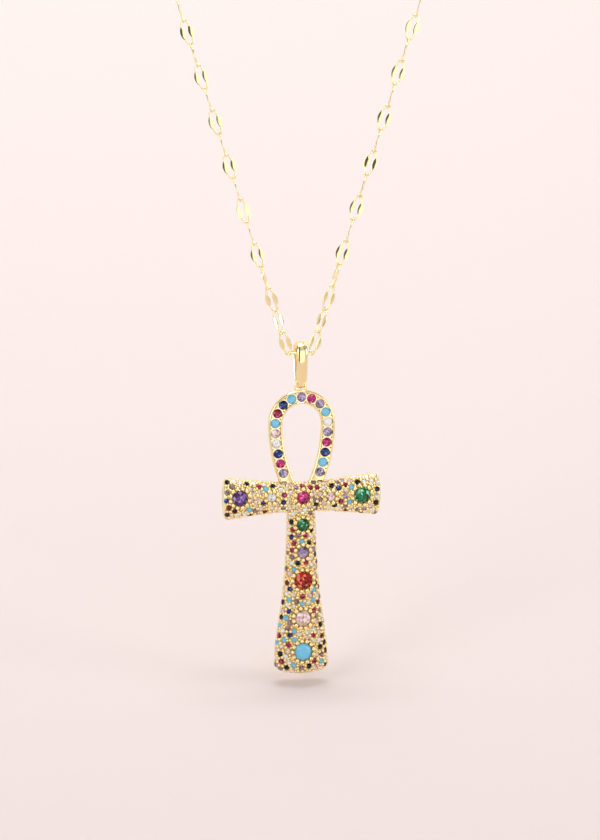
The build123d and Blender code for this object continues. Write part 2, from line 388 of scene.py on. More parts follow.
def alongSteps(start, end, freeStart, freeEnd, count):
    steps = list(np.linspace(start, end, count))
    near = [cast["cornerRound"] * (1 - math.sin(a)) for a in np.linspace(0, math.pi / 2, 9)]
    if freeEnd:
        steps = [s for s in steps if s < end - near[0]] + [end - g for g in near]
    if freeStart:
        steps = [start + g for g in near][::-1] + [s for s in steps if s > start + near[0]]
    return steps


def makeBar():
    rings = []
    for x in alongSteps(-cast["barHalf"], cast["barHalf"], True, True, 90):
        half, front = smoothTable(cast["barRows"], abs(x))
        drawIn, inset = endInset(cast["barHalf"] - abs(x))
        gap = cast["barHalf"] - abs(x)
        bulge = cast["barBulge"] * max(abs(x) / cast["barHalf"] - 0.7, 0) / 0.3
        rings.append([
            (x - math.copysign(bulge * (z / half) ** 2 + endDraft(gap, y), x), y, cast["barZ"] + z)
            for z, y in domeRing(half - drawIn, front, inset)
        ])
    return newPiece("bar", fromHang(np.vstack(rings)), ringSkin(rings))


def makeShaft():
    rings = []
    for s in alongSteps(-cast["shaftTop"], -cast["shaftFoot"], False, True, 110):
        half, front = smoothTable(cast["shaftRows"], s)
        drawIn, inset = endInset(-cast["shaftFoot"] - s)
        gap = -cast["shaftFoot"] - s
        bulge = cast["footBulge"] * max(1 - gap / 6, 0)
        rings.append([
            (x, y, -s - bulge * (1 - (x / half) ** 2) + endDraft(gap, y))
            for x, y in domeRing(half - drawIn, front, inset)
        ])
    return newPiece("shaft", fromHang(np.vstack(rings)), ringSkin(rings))


band = {
    "half": 1.2,
    "railTop": 1.2,
    "channelHalf": 0.84,
    "floor": 0.92,
    "shoulder": 0.75,
    "corner": 0.3,
    "draft": 0.42,
}


def bandProfile():
    # across the band and towards its back, a closed line
    w, back, r = band["half"], cast["back"], band["corner"]
    rear = w - band["draft"]
    right = [(rear - r + r * math.sin(a), back - r + r * math.cos(a)) for a in
             np.linspace(0, math.pi / 2, 5)]
    wide, high = w - band["channelHalf"] - 0.06, band["railTop"] - band["shoulder"]
    for a in np.linspace(0, math.pi / 2, 8):
        right.append((w - wide + wide * math.cos(a), -band["shoulder"] - high * math.sin(a)))
    right.append((band["channelHalf"] + 0.01, -band["railTop"] + 0.05))
    right.append((band["channelHalf"] - 0.03, -band["floor"] - 0.02))
    right.append((band["channelHalf"] - 0.08, -band["floor"]))
    return right + [(-x, y) for x, y in right[::-1]]


def legCircle():
    dx = cast["loopR"] - cast["legEnd"][0]
    dz = cast["loopZ"] - cast["legEnd"][1]
    radius = (dx**2 + dz**2) / (2 * dx)
    return radius, math.asin(dz / radius)


def loopPlace(s):
    # place and outward direction on the band's middle, s mm right of the top
    quarter = cast["loopR"] * math.pi / 2
    side = -1 if s < 0 else 1
    s = abs(s)
    if s < quarter:
        a = s / cast["loopR"]
        outX, outZ = math.sin(a), math.cos(a)
        x, z = cast["loopR"] * outX, cast["loopZ"] + cast["loopR"] * outZ
    else:
        radius, _ = legCircle()
        a = (s - quarter) / radius
        outX, outZ = math.cos(a), -math.sin(a)
        x, z = cast["loopR"] - radius + radius * outX, cast["loopZ"] + radius * outZ
    return side * x, z, side * outX, outZ


def makeBand():
    radius, turn = legCircle()
    reach = cast["loopR"] * math.pi / 2 + radius * turn
    rings = []
    for s in np.linspace(-reach, reach, 190):
        x, z, outX, outZ = loopPlace(s)
        rings.append([(x + outX * u, y, z + outZ * u) for u, y in bandProfile()])
    return newPiece("band", fromHang(np.vstack(rings)), ringSkin(rings))


def tube(path, radius, sides=16):
    # rings of a round wire along points, with its own steady frame
    path = [Vector(p) for p in path]
    rings = []
    normal = None
    for i, p in enumerate(path):
        ahead = (path[min(i + 1, len(path) - 1)] - path[max(i - 1, 0)]).normalized()
        if normal is None:
            normal = ahead.orthogonal().normalized()
        normal = (normal - ahead * normal.dot(ahead)).normalized()
        side = ahead.cross(normal)
        rings.append([
            tuple(p + (normal * math.cos(a) + side * math.sin(a)) * radius)
            for a in np.linspace(0, 2 * math.pi, sides, endpoint=False)
        ])
    return rings


def makeEye():
    r, bend, top = cast["eyeR"], cast["eyeBend"], cast["eyeZ"]
    foot = cast["loopZ"] + cast["loopR"]
    path = [(-r, 0, z) for z in np.linspace(foot, top - bend, 6)[:-1]]
    path += [(-r + bend - bend * math.cos(a), 0, top - bend + bend * math.sin(a))
             for a in np.linspace(0, math.pi / 2, 12)]
    path += [(-x, 0, z) for x, _, z in path[::-1]]
    rings = tube(path, cast["eyeWire"], 20)
    return newPiece("eye", fromHang(np.vstack(rings)), ringSkin(rings))


# Large stones: name, x, z, diameter, girdle height, colour
mainStones = (
    ("stone_amethyst", -10.65, -23.75, 2.50, 2.00, "purple"),
    ("stone_clear", -5.30, -23.80, 1.45, 2.15, "clear"),
    ("stone_fuchsia", 0.0, -24.00, 2.00, 2.20, "fuchsia"),
    ("stone_pale_pink", 4.65, -24.00, 1.50, 2.15, "palePink"),
    ("stone_emerald", 10.0, -24.00, 2.60, 2.00, "green"),
    ("stone_small_emerald", 0.0, -28.65, 1.95, 1.95, "green"),
    ("stone_lavender", 0.0, -33.30, 1.85, 1.97, "lilac"),
    ("stone_garnet", 0.0, -38.00, 2.85, 2.10, "red"),
    ("stone_rose", 0.0, -44.40, 2.60, 2.10, "palePink"),
    ("stone_turquoise", 0.0, -50.10, 2.85, 2.10, "turquoise"),
)
loopRow = {
    "pitch": 1.71,
    "diameter": 1.52,
    "girdle": 0.86,
    "top": "lilac",
    "right": ("fuchsia", "lilac", "turquoise", "clear", "lilac", "fuchsia", "blue", "turquoise",
              "lilac"),
    "left": ("turquoise", "blue", "ruby", "turquoise", "palePink", "clear", "blue", "fuchsia",
             "lilac"),
}
seat = {"gap": 0.03, "collar": 0.08, "sides": 32}
cut = {
    "table": 0.56,
    "crown": 0.16,
    "girdle": 0.035,
    "pavilion": 0.43,
    "starReach": 0.45,
    "lowerReach": 0.24,
    "heart": 0.42,
    "facets": 88,
}


def coneRings(levels, sides):
    # rings about local Z from (radius, height) pairs
    angles = np.linspace(0, 2 * math.pi, sides, endpoint=False)
    return [[(r * math.cos(a), r * math.sin(a), h) for a in angles] for r, h in levels]


def facing(normal):
    # turn that takes local Z to a direction
    return Vector((0, 0, 1)).rotation_difference(Vector(normal)).to_matrix()


def setDown(points, centre, normal, spin=0.0):
    # points about local Z to millimetres, laid at a centre with a normal
    turn = np.array(facing(normal) @ Matrix.Rotation(spin, 3, "Z"))
    return np.asarray(points, float) @ turn.T + np.array(centre)


def brilliant(diameter):
    # points and faces of a round brilliant, girdle plane at 0, table up
    r = diameter / 2
    tableR, crown, girdle = r * cut["table"], diameter * cut["crown"], diameter * cut["girdle"] / 2
    depth = diameter * cut["pavilion"]
    starX = tableR + (r - tableR) * cut["starReach"]
    starZ = crown + girdle - crown * cut["starReach"]
    lowX = r * cut["lowerReach"]
    lowZ = -girdle - depth * (1 - cut["lowerReach"])
    eighth = math.pi / 4

    def ring(radius, height, count, shift):
        return [(radius * math.cos(shift + 2 * math.pi * k / count),
                 radius * math.sin(shift + 2 * math.pi * k / count), height) for k in range(count)]

    verts = ring(tableR, crown + girdle, 8, 0)
    verts += ring(starX / math.cos(eighth / 2), starZ, 8, eighth / 2)
    verts += ring(r, girdle, 16, 0) + ring(r, -girdle, 16, 0)
    verts += ring(lowX / math.cos(eighth / 2), lowZ, 8, eighth / 2) + [(0, 0, -girdle - depth)]
    verts += ring(tableR * cut["heart"], crown + girdle, 8, eighth / 2) + [(0, 0, crown + girdle)]
    star, upper, lower, pav, culet, inner, heart = 8, 16, 32, 48, 56, 57, 65
    faces = []
    for k in range(8):
        after, before = (k + 1) % 8, (k - 1) % 8
        g, gHalf, gNext = 2 * k, 2 * k + 1, (2 * k + 2) % 16
        faces += [
            (k, after, inner + k),
            (k, inner + k, heart, inner + before),
            (k, star + k, after),
            (k, star + before, upper + g, star + k),
            (star + k, upper + g, upper + gHalf),
            (star + k, upper + gHalf, upper + gNext),
            (upper + g, lower + g, lower + gHalf, upper + gHalf),
            (upper + gHalf, lower + gHalf, lower + gNext, upper + gNext),
            (pav + k, lower + gHalf, lower + g),
            (pav + k, lower + gNext, lower + gHalf),
            (culet, pav + k, lower + g, pav + before),
        ]
    return verts, faces


def seatCutter(diameter, head):
    # closed cutter for a stone's seat, open upwards by head
    r = diameter / 2 + seat["gap"]
    depth = diameter * (cut["pavilion"] + 0.06)
    levels = [(0.04, -depth), (r, -0.03), (r, head)]
    rings = coneRings(levels, seat["sides"])
    return np.vstack(rings), ringSkin(rings)


def stonePlaces():
    # name: centre, diameter, colour
    places = {}
    for name, x, z, diameter, height, colour in mainStones:
        places[name] = ((x, -height, z), diameter, colour)
    row = [("top", 0, loopRow["top"])]
    for side, sign in (("left", -1), ("right", 1)):
        row += [(f"{side}_{k}", sign * k, colour) for k, colour in enumerate(loopRow[side], 1)]
    for name, step, colour in row:
        x, z, _, _ = loopPlace(step * loopRow["pitch"])
        places[f"stone_loop_{name}"] = ((x, -loopRow["girdle"], z), loopRow["diameter"], colour)
    return places


front = (0, -1, 0)
places = stonePlaces()
casting = makeBar()
for part in (makeShaft(), makeBand(), makeEye()):
    outward(part)
    combine(casting, part, "UNION")
print("casting joined", len(casting.data.polygons))

collars = []
for name, x, z, diameter, height, colour in mainStones:
    r = diameter / 2 + seat["collar"]
    rings = coneRings([(r, -height), (r, -0.05), (r - 0.07, 0.03)], seat["sides"])
    collars.append((setDown(np.vstack(rings), (x, -height, z), front), ringSkin(rings)))
collarVerts, collarFaces = joinMeshes(collars)
collarPiece = newPiece("collars", fromHang(collarVerts), collarFaces)
outward(collarPiece)
bareSurface = BVHTree.FromObject(casting, bpy.context.evaluated_depsgraph_get())
bareMesh = casting.data.copy()
combine(casting, collarPiece, "UNION")


# Field of small stones over bar and shaft
pave = {
    "diameter": 0.86,
    "gap": 0.14,
    "sunk": 0.06,
    "samples": 90000,
    "steepest": 0.33,
    "rim": 0.36,
    "endRim": 0.4,
    "beadRing": 0.5,
    "sideRim": 0.35,  # share of the rim kept clear along the sides
    "shaftFrom": 26.7,
    "accentSpacing": 0.87,
    "seed": 7,
}
# Coloured accents read off the photograph, as its pixels
accentPixels = {
    "navy": (
        (227, 482), (247, 484), (264.5, 482), (273, 486), (227, 515), (235, 511), (250, 515),
        (316, 504.5), (331.5, 485.5), (357.5, 482), (377.5, 489), (376, 502.5), (334.5, 505),
        (361, 512), (291.5, 522), (311, 530), (309, 543), (315, 554), (298, 563), (315, 583),
        (282.5, 602), (281, 617), (320.5, 624), (324, 642), (320, 646.5), (280, 654), (309, 666),
        (286.5, 667.5),
    ),
    "blue": (
        (226.5, 501), (263.5, 503), (283.5, 502.5), (338.5, 488), (291.5, 537), (286.5, 554),
        (290, 589), (289, 611), (290, 635),
    ),
    "turquoise": (
        (249.5, 479.5), (266, 489.5), (249.5, 510), (312, 495), (351.5, 487), (350, 502),
        (302, 542), (294.5, 570), (314, 589.5), (289.5, 599.5), (302.5, 603.5), (313.5, 599.5),
        (286, 618), (279.5, 625), (294, 631.5), (294.5, 639.5), (284, 640), (276.5, 642.5),
        (321.5, 661), (294, 665.5),
    ),
    "ruby": (
        (259, 486.5), (284.5, 495), (310, 487.5), (317, 487.5), (302, 486), (345, 484.5),
        (341, 501), (293, 529.5), (294, 543), (305.5, 535), (292.5, 550), (286, 561.5), (306, 562),
        (302.5, 596.5), (314, 610), (279, 635.5), (313, 635), (288.5, 645), (281.5, 661.5),
        (314, 660.5),
    ),
    "garnet": (
        (229, 508), (264.5, 512), (306, 506), (346, 478), (346, 510), (315, 543), (316.5, 561),
        (303, 568.5), (314, 575), (287, 583), (318.5, 586), (318, 601.5), (322, 635), (325.5, 650),
        (274.5, 657), (325, 664),
    ),
    "taupe": (
        (232, 487), (227, 493), (345, 506), (298.5, 535), (292, 557), (286, 569), (309.5, 569),
        (319, 610), (321.5, 654), (274.5, 650), (276, 664.5), (301.5, 668),
    ),
}
fillColours = (
    ("clear", 0.24), ("champagne", 0.30), ("palePink", 0.24), ("taupe", 0.12), ("lilac", 0.10),
)


def stoneRoom(point, reach):
    # distance of a point in mm from the nearest large stone's bead ring
    return min(
        (Vector(point) - Vector((x, -height + 0.1, z))).length
        - diameter / 2 - pave["beadRing"] - reach
        for _, x, z, diameter, height, _ in mainStones
    )


def inField(point, normal):
    # whether a small stone may sit here, on bar or shaft and clear of rims
    x, _, z = point
    if normal[1] > -pave["steepest"]:
        return False
    onBar = abs(x) < cast["barHalf"] - pave["endRim"]
    if onBar:
        half = smoothTable(cast["barRows"], abs(x))[0]
        onBar = abs(z - cast["barZ"]) < half - pave["rim"] * pave["sideRim"]
    onShaft = -cast["shaftFoot"] + cast["footBulge"] - pave["endRim"] > -z > pave["shaftFrom"]
    if onShaft:
        half = smoothTable(cast["shaftRows"], -z)[0]
        onShaft = abs(x) < half - pave["rim"] * pave["sideRim"]
    return onBar or onShaft


def surfaceSamples():
    # random places on the casting's front, in mm with their normals
    rng = np.random.default_rng(pave["seed"])
    bareMesh.calc_loop_triangles()
    co = np.empty(len(bareMesh.vertices) * 3)
    bareMesh.vertices.foreach_get("co", co)
    co = (co.reshape(-1, 3) - np.array(hangPoint)) / mm
    tri = np.empty(len(bareMesh.loop_triangles) * 3, int)
    bareMesh.loop_triangles.foreach_get("vertices", tri)
    a, b, c = (co[tri.reshape(-1, 3)[:, k]] for k in range(3))
    cross = np.cross(b - a, c - a)
    area = np.linalg.norm(cross, axis=1)
    normal = cross / np.maximum(area, 1e-12)[:, None]
    pick = rng.choice(len(area), pave["samples"], p=area / area.sum())
    u, v = rng.random((2, pave["samples"], 1))
    flip = (u + v) > 1
    u, v = np.where(flip, 1 - u, u), np.where(flip, 1 - v, v)
    points = a[pick] + u * (b[pick] - a[pick]) + v * (c[pick] - a[pick])
    keep = [k for k in range(len(points)) if inField(points[k], normal[pick[k]])]
    return points[keep], normal[pick][keep]


def packField():
    # centres, normals and colours: the accents first, then a close fill
    rng = random.Random(pave["seed"])
    spacing = pave["diameter"] + pave["gap"]
    centres, normals, colours = [], [], []
    for colour, pixels in accentPixels.items():
        for pixel in pixels:
            start, ahead = pixelRay(pixel)
            hit, normal, _, _ = bareSurface.ray_cast(start, ahead)
            if hit is None:
                continue
            point = (hit - hangPoint) / mm
            near = min(((point - Vector(c)).length for c in centres), default=9)
            apart = near > spacing * pave["accentSpacing"]
            if apart and inField(point, normal) and stoneRoom(point, pave["diameter"] * 0.3) > 0:
                centres.append(tuple(point))
                normals.append(tuple(normal))
                colours.append(colour)
    print("accents", len(centres))
    points, directions = surfaceSamples()
    room = np.array([stoneRoom(p, pave["diameter"] * 0.42) for p in points])
    points, directions = points[room > 0], directions[room > 0]
    distances = np.full((len(points), 2), 9.0)

    def note(centre):
        d = np.linalg.norm(points - np.array(centre), axis=1)
        distances[:, 1] = np.minimum(distances[:, 1], np.maximum(distances[:, 0], d))
        distances[:, 0] = np.minimum(distances[:, 0], d)

    for centre in centres:
        note(centre)
    names, weights = zip(*fillColours)
    while True:
        free = distances[:, 0] >= spacing
        if not free.any():
            break
        score = np.where(free, distances.sum(axis=1), 99)
        k = int(score.argmin())
        centres.append(tuple(points[k]))
        normals.append(tuple(directions[k]))
        colours.append(rng.choices(names, weights)[0])
        note(points[k])
    return centres, normals, colours


centres, normals, colours = packField()
print("small stones", len(centres))

# Cut all seats
cutters = []
for name, (centre, diameter, colour) in places.items():
    verts, faces = seatCutter(diameter, 1.0)
    cutters.append((setDown(verts, centre, front), faces))
for centre, normal in zip(centres, normals):
    verts, faces = seatCutter(pave["diameter"], 0.3)
    cutters.append((setDown(verts, centre, normal), faces))
cutVerts, cutFaces = joinMeshes(cutters)
cutterPiece = newPiece("cutters", fromHang(cutVerts), cutFaces)
outward(cutterPiece)
combine(casting, cutterPiece, "DIFFERENCE")
casting.name = casting.data.name = "ankhCasting"
casting.data.materials.clear()
casting.data.materials.append(castGold)
casting.data.materials.append(paintedShadeGold)
# faces in the stone seats and on the field ground between the stones take the dark gold, as painted
# shade in these recesses
for face in casting.data.polygons:
    hit, normal, _, _ = bareSurface.find_nearest(face.center)
    above = (face.center - hit).dot(normal) / mm
    spot = (face.center - hangPoint) / mm
    inPaintedShade = above < -0.02 or (above < 0.02 and inField(spot, face.normal))
    face.material_index = 1 if inPaintedShade else 0
softShade(casting, 30)
print("casting cut", len(casting.data.polygons))
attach(casting, "ankh")
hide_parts("ankh_body")


def paintFacetLight(piece, seed, contrast):
    # painted light and shade for every facet: a random tone each, and each stone given a painted lit
    # side and a painted shaded side
    rng = np.random.default_rng(seed)
    faces = len(piece.data.polygons)
    each = cut["facets"]
    around = np.arange(faces) % each // (each // 8) * math.pi / 4
    side = np.repeat(rng.uniform(0, 2 * math.pi, faces // each), each)
    values = 0.42 + contrast * (rng.normal(0, 0.3, faces) + 0.14 * np.cos(around - side))
    layer = piece.data.attributes.new("paintedFacetLight", "FLOAT", "FACE")
    layer.data.foreach_set("value", values.clip(0, 1).astype(np.float32))


# strength of the painted facet light and shade for each colour
facetLightContrast = {"turquoise": 0.1, "clear": 0.65, "champagne": 0.7, "palePink": 0.8}
for number, (name, (centre, diameter, colour)) in enumerate(places.items()):
    verts, faces = brilliant(diameter)
    stone = newPiece(name + "_cut", fromHang(setDown(verts, centre, front, number * 0.7)), faces)
    outward(stone)
    stone.data.materials.append(stoneMaterials[colour])
    paintFacetLight(stone, 100 + number, facetLightContrast.get(colour, 1.0))
    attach(stone, "ankh")
    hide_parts(name)

spin = random.Random(pave["seed"])
for colour in sorted(set(colours)):
    parts = []
    for centre, normal, own in zip(centres, normals, colours):
        if own == colour:
            verts, faces = brilliant(pave["diameter"])
            low = Vector(centre) - Vector(normal) * pave["sunk"]
            parts.append((setDown(verts, low, normal, spin.uniform(0, 6.28)), faces))
    verts, faces = joinMeshes(parts)
    field = newPiece(f"pave_{colour}", fromHang(verts), faces)
    outward(field)
    field.data.materials.append(stoneMaterials[colour])
    paintFacetLight(field, 500 + len(parts), facetLightContrast.get(colour, 1.0))
    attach(field, "ankh")

# Gold beads
beads = {
    "mainRadius": 0.38,
    "mainRing": 0.37,
    "paveRadius": 0.29,
    "loopRadius": 0.13,
    "groundRadii": (0.23, 0.17),
    "mainSpacing": 0.84,
    "mainTall": 1.3,
    "reach": 1.65,
    "lift": 0.06,
    "loopEnd": 9.2,
    "rings": 6,
    "sides": 10,
}


def beadMesh(radius):
    # small round bead drawn as rings about local Z
    verts, faces = [], []
    n, m = beads["sides"], beads["rings"]
    for i in range(1, m):
        a = math.pi * i / m
        wide, high = radius * math.sin(a), radius * math.cos(a)
        verts += [(wide * math.cos(t), wide * math.sin(t), high)
                  for t in np.linspace(0, 2 * math.pi, n, endpoint=False)]
    for i in range(m - 2):
        for j in range(n):
            a, b = i * n + j, i * n + (j + 1) % n
            faces.append((a, a + n, b + n, b))
    top, bottom = len(verts), len(verts) + 1
    verts += [(0, 0, radius), (0, 0, -radius)]
    for j in range(n):
        faces.append((top, j, (j + 1) % n))
        faces.append((bottom, (m - 2) * n + (j + 1) % n, (m - 2) * n + j))
    return np.array(verts), faces


def fieldBeads():
    # beads in the gaps between three neighbouring small stones
    points = np.array(centres)
    reach = (pave["diameter"] + pave["gap"]) * beads["reach"]
    clearance = pave["diameter"] / 2 + beads["paveRadius"] * 0.35
    spots = []
    for i, p in enumerate(points):
        d = np.linalg.norm(points - p, axis=1)
        near = [j for j in np.argsort(d)[1:9] if d[j] < reach]
        turn = np.array(facing(normals[i]))
        flat = {j: (points[j] - p) @ turn for j in near}
        order = sorted(near, key=lambda j: math.atan2(flat[j][1], flat[j][0]))
        for j, k in zip(order, order[1:] + order[:1]):
            if j == k or np.linalg.norm(points[j] - points[k]) > reach:
                continue
            spot = (p + points[j] + points[k]) / 3
            normal = np.array(normals[i]) + np.array(normals[j]) + np.array(normals[k])
            if np.linalg.norm(points - spot, axis=1).min() < clearance:
                continue
            nearest = min((np.linalg.norm(spot - other) for other, _ in spots), default=9)
            if nearest < 1.5 * beads["paveRadius"]:
                continue
            spots.append((spot, normal / np.linalg.norm(normal)))
    return spots


def onSurface(point, lift):
    # nearest place on the bare casting, lifted along its normal, in mm
    hit, normal, _, _ = bareSurface.find_nearest(Vector(point) * mm + hangPoint)
    return (hit - hangPoint) / mm + normal * lift


def groundBeads(taken, radii):
    # ever smaller beads over the bare ground that is left between the stones
    points, _ = surfaceSamples()
    toStone = np.full(len(points), 9.0)
    for centre in centres:
        toStone = np.minimum(toStone, np.linalg.norm(points - np.array(centre), axis=1))
    room = np.array([stoneRoom(p, -0.02) for p in points])
    toBead = np.full(len(points), 9.0)
    found = []
    for spot, radius in taken:
        toBead = np.minimum(toBead, np.linalg.norm(points - np.array(spot), axis=1) - radius)
    for radius in radii:
        clear = (toStone > pave["diameter"] / 2 + 0.55 * radius) & (room > radius * 0.6)
        while True:
            free = clear & (toBead > radius * 0.8)
            if not free.any():
                break
            k = int(np.where(free, toBead, 99).argmin())
            found.append((points[k], radius))
            toBead = np.minimum(toBead, np.linalg.norm(points - points[k], axis=1) - radius)
    return found


beadParts = []
grains = [(onSurface(spot, beads["lift"]), beads["paveRadius"]) for spot, _ in fieldBeads()]
grains += groundBeads(grains, beads["groundRadii"])
for spot, radius in grains:
    verts, faces = beadMesh(radius)
    beadParts.append((verts + np.array(spot), faces))
for name, x, z, diameter, height, colour in mainStones:
    ring = diameter / 2 + beads["mainRing"]
    count = round(2 * math.pi * ring / beads["mainSpacing"])
    for k in range(count):
        a = 2 * math.pi * (k + 0.5) / count
        verts, faces = beadMesh(beads["mainRadius"])
        centre = (x + ring * math.cos(a), -height - 0.04, z + ring * math.sin(a))
        beadParts.append((verts * (1, beads["mainTall"], 1) + np.array(centre), faces))
for k in range(-9, 10):
    for offset in (-0.5, 0.5):
        if abs(k + offset) > beads["loopEnd"]:
            continue
        x, z, outX, outZ = loopPlace((k + offset) * loopRow["pitch"])
        for side in (-1, 1):
            u = side * (band["channelHalf"] - 0.13)
            verts, faces = beadMesh(beads["loopRadius"])
            centre = (x + outX * u, -loopRow["girdle"] - 0.12, z + outZ * u)
            beadParts.append((verts + np.array(centre), faces))
verts, faces = joinMeshes(beadParts)
beadPiece = newPiece("goldBeads", fromHang(verts), faces)
outward(beadPiece)
beadPiece.data.materials.append(castGold)
softShade(beadPiece, 80)
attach(beadPiece, "ankh")
print("beads", len(beadParts))

# Bail
bail = {
    "outer": (1.85, 1.0),
    "inner": (1.2, 0.38),
    "drop": 5.08,
    "width": 1.88,
    "tipWidth": 1.04,
    "shoulder": (-4.6, -5.15),
    "edge": 0.2,
    "domePower": 2.1,
    "closing": 1.8,  # how late the legs draw in towards the tip
}


def makeBail():
    # strap bent to a teardrop, its front domed and its tip narrow for the eye
    outer, inner, late = bail["outer"], bail["inner"], bail["closing"]

    def lean(t):
        return math.atan((outer[0] - outer[1]) * late * t ** (late - 1) / bail["drop"])

    runs = [(a, 0.0) for a in np.linspace(0, math.pi, 60)]
    runs += [(math.pi + lean(t), t) for t in np.linspace(0, 1, 48)[1:-1]]
    runs += [(a, 1.0) for a in np.linspace(math.pi + lean(1), 2 * math.pi - lean(1), 56)]
    runs += [(2 * math.pi - lean(t), t) for t in np.linspace(1, 0, 48)[1:-1]]
    rings = []
    for a, t in runs:
        closed = t**late
        low = inner[0] + (inner[1] - inner[0]) * closed
        high = outer[0] + (outer[1] - outer[0]) * closed
        middle = -bail["drop"] * t + math.sin(a) * (low + high) / 2
        start, end = bail["shoulder"]
        share = min(max((middle - start) / (end - start), 0), 1)
        share = share * share * (3 - 2 * share)
        half = (bail["width"] + (bail["tipWidth"] - bail["width"]) * share) / 2
        ring = [(x * (half - bail["edge"]), low) for x in np.linspace(-1, 1, 7)]
        p = 2 / bail["domePower"]
        for b in np.linspace(-math.pi / 2, math.pi / 2, 25):
            s, c = math.sin(-b), math.cos(b)
            ring.append((half * math.copysign(abs(s) ** p, s),
                         low + bail["edge"] + (high - low - bail["edge"]) * c**p))
        rings.append([(x, math.cos(a) * v, -bail["drop"] * t + math.sin(a) * v) for x, v in ring])
    piece = newPiece("bailLoop", fromHang(np.vstack(rings)), ringSkin(rings, closedAlong=True))
    outward(piece)
    piece.data.materials.append(chainGold)
    softShade(piece, 50)
    return piece


bailPiece = makeBail()
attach(bailPiece, "bail")
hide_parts("bail")
print("bail ready")

# Chain
lace = {
    "length": 4.56,
    "wire": 0.27,
    "side": 0.66,
    "endRadius": 0.46,
    "padLength": 2.3,
    "padWidth": 0.86,
    "padThick": 0.18,
    "padMiddle": 0.68,
    "wireFrom": 0.40,  # where the wire leaves the pad, as a share of its length
    "wireSides": 10,
    "sway": 0.1,  # each link turned a little about its length, in radians
    "seed": 3,
}


def ovalArcs():
    # reach to the end arcs, radius of the side arcs and the angle where they meet
    side, end = lace["side"], lace["endRadius"]
    reach = (lace["length"] - lace["wire"]) / 2 - end
    sideR = (reach**2 + side**2 - end**2) / (2 * (side - end))
    return reach, sideR, math.atan2(reach, sideR - side)


def ovalPoint(t):
    # a place on the link's four-arc oval, t radians round it from its side
    reach, sideR, swing = ovalArcs()
    if abs(t) <= swing:
        return lace["side"] - sideR + sideR * math.cos(t), sideR * math.sin(t)
    return lace["endRadius"] * math.cos(t), math.copysign(reach, t) + lace["endRadius"] * math.sin(t)


def linkMesh():
    # one lace link in mm: length along Y, face along Z
    parts = []
    _, sideR, swing = ovalArcs()
    start = math.asin(lace["wireFrom"] * lace["padLength"] / sideR)
    for end in (1, -1):
        lower = [ovalPoint(t) for t in np.linspace(start, swing, 8)[:-1]]
        over = [ovalPoint(t) for t in np.linspace(swing, math.pi - swing, 15)]
        back = [(-x, y) for x, y in lower[::-1]]
        path = [(x, end * y, 0) for x, y in lower + over + back]
        rings = tube(path, lace["wire"] / 2, lace["wireSides"])
        parts.append((np.vstack(rings), ringSkin(rings)))
    for side in (1, -1):
        arcs = np.linspace(0, 2 * math.pi, 28, endpoint=False)
        rings = []
        for shrink, height in ((0.72, -0.5), (0.97, -0.38), (1.0, 0.0), (0.97, 0.38), (0.72, 0.5)):
            ring = []
            for a in arcs:
                along = math.sin(a)
                across = math.copysign((1 - along**2) ** 0.8, math.cos(a))
                edge = lace["padWidth"] / 2 * shrink
                ring.append((side * lace["padMiddle"] + edge * across,
                             lace["padLength"] / 2 * along * (0.5 + 0.5 * shrink),
                             lace["padThick"] * height))
            rings.append(ring)
        parts.append((np.vstack(rings), ringSkin(rings)))
    return joinMeshes(parts)


def loosePoints(mesh):
    # the points of each loose part of a mesh
    co = np.empty(len(mesh.vertices) * 3)
    mesh.vertices.foreach_get("co", co)
    points, same = np.unique(co.reshape(-1, 3).round(6), axis=0, return_inverse=True)
    edges = np.empty(len(mesh.edges) * 2, int)
    mesh.edges.foreach_get("vertices", edges)
    a, b = same.reshape(-1)[edges].reshape(-1, 2).T
    label = np.arange(len(points))
    while True:
        low = np.minimum(label[a], label[b])
        new = label.copy()
        np.minimum.at(new, a, low)
        np.minimum.at(new, b, low)
        new = new[new]
        if (new == label).all():
            return [points[label == part] for part in np.unique(label)]
        label = new


def linkPlaces(node):
    # middle, length and face direction of each link, from the node's own shape
    result = []
    for cloud in loosePoints(frame["nodes"][node].data):
        middle = cloud.mean(axis=0)
        _, _, axes = np.linalg.svd(cloud - middle, full_matrices=False)
        flat = (cloud - middle) @ axes.T
        middle = middle + ((flat.min(axis=0) + flat.max(axis=0)) / 2) @ axes
        result.append((middle, axes[0], axes[2]))
    return result


linkVerts, linkFaces = linkMesh()
sway = random.Random(lace["seed"])
for node in ("chain_left", "chain_right", "front_link"):
    parts = []
    for middle, length, face in linkPlaces(node):
        across = np.cross(length, face)
        turn = sway.uniform(-lace["sway"], lace["sway"])
        across, face = (across * math.cos(turn) + face * math.sin(turn),
                        face * math.cos(turn) - across * math.sin(turn))
        parts.append(((linkVerts @ np.array([across, length, face])) * mm + middle, linkFaces))
    verts, faces = joinMeshes(parts)
    strand = newPiece(node + "_links", verts, faces)
    outward(strand)
    strand.data.materials.append(chainGold)
    softShade(strand, 40)
    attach(strand, "chain")
    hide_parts(node)
    print(node, len(parts), "links")

# Clasp
clasp = {
    "half": 4.45,
    "radius": 1.3,
    "eyeX": 5.0,
    "eyeR": 0.55,
    "eyeWire": 0.16,
    "neckTilt": 50.0,
    "sides": 56,
}


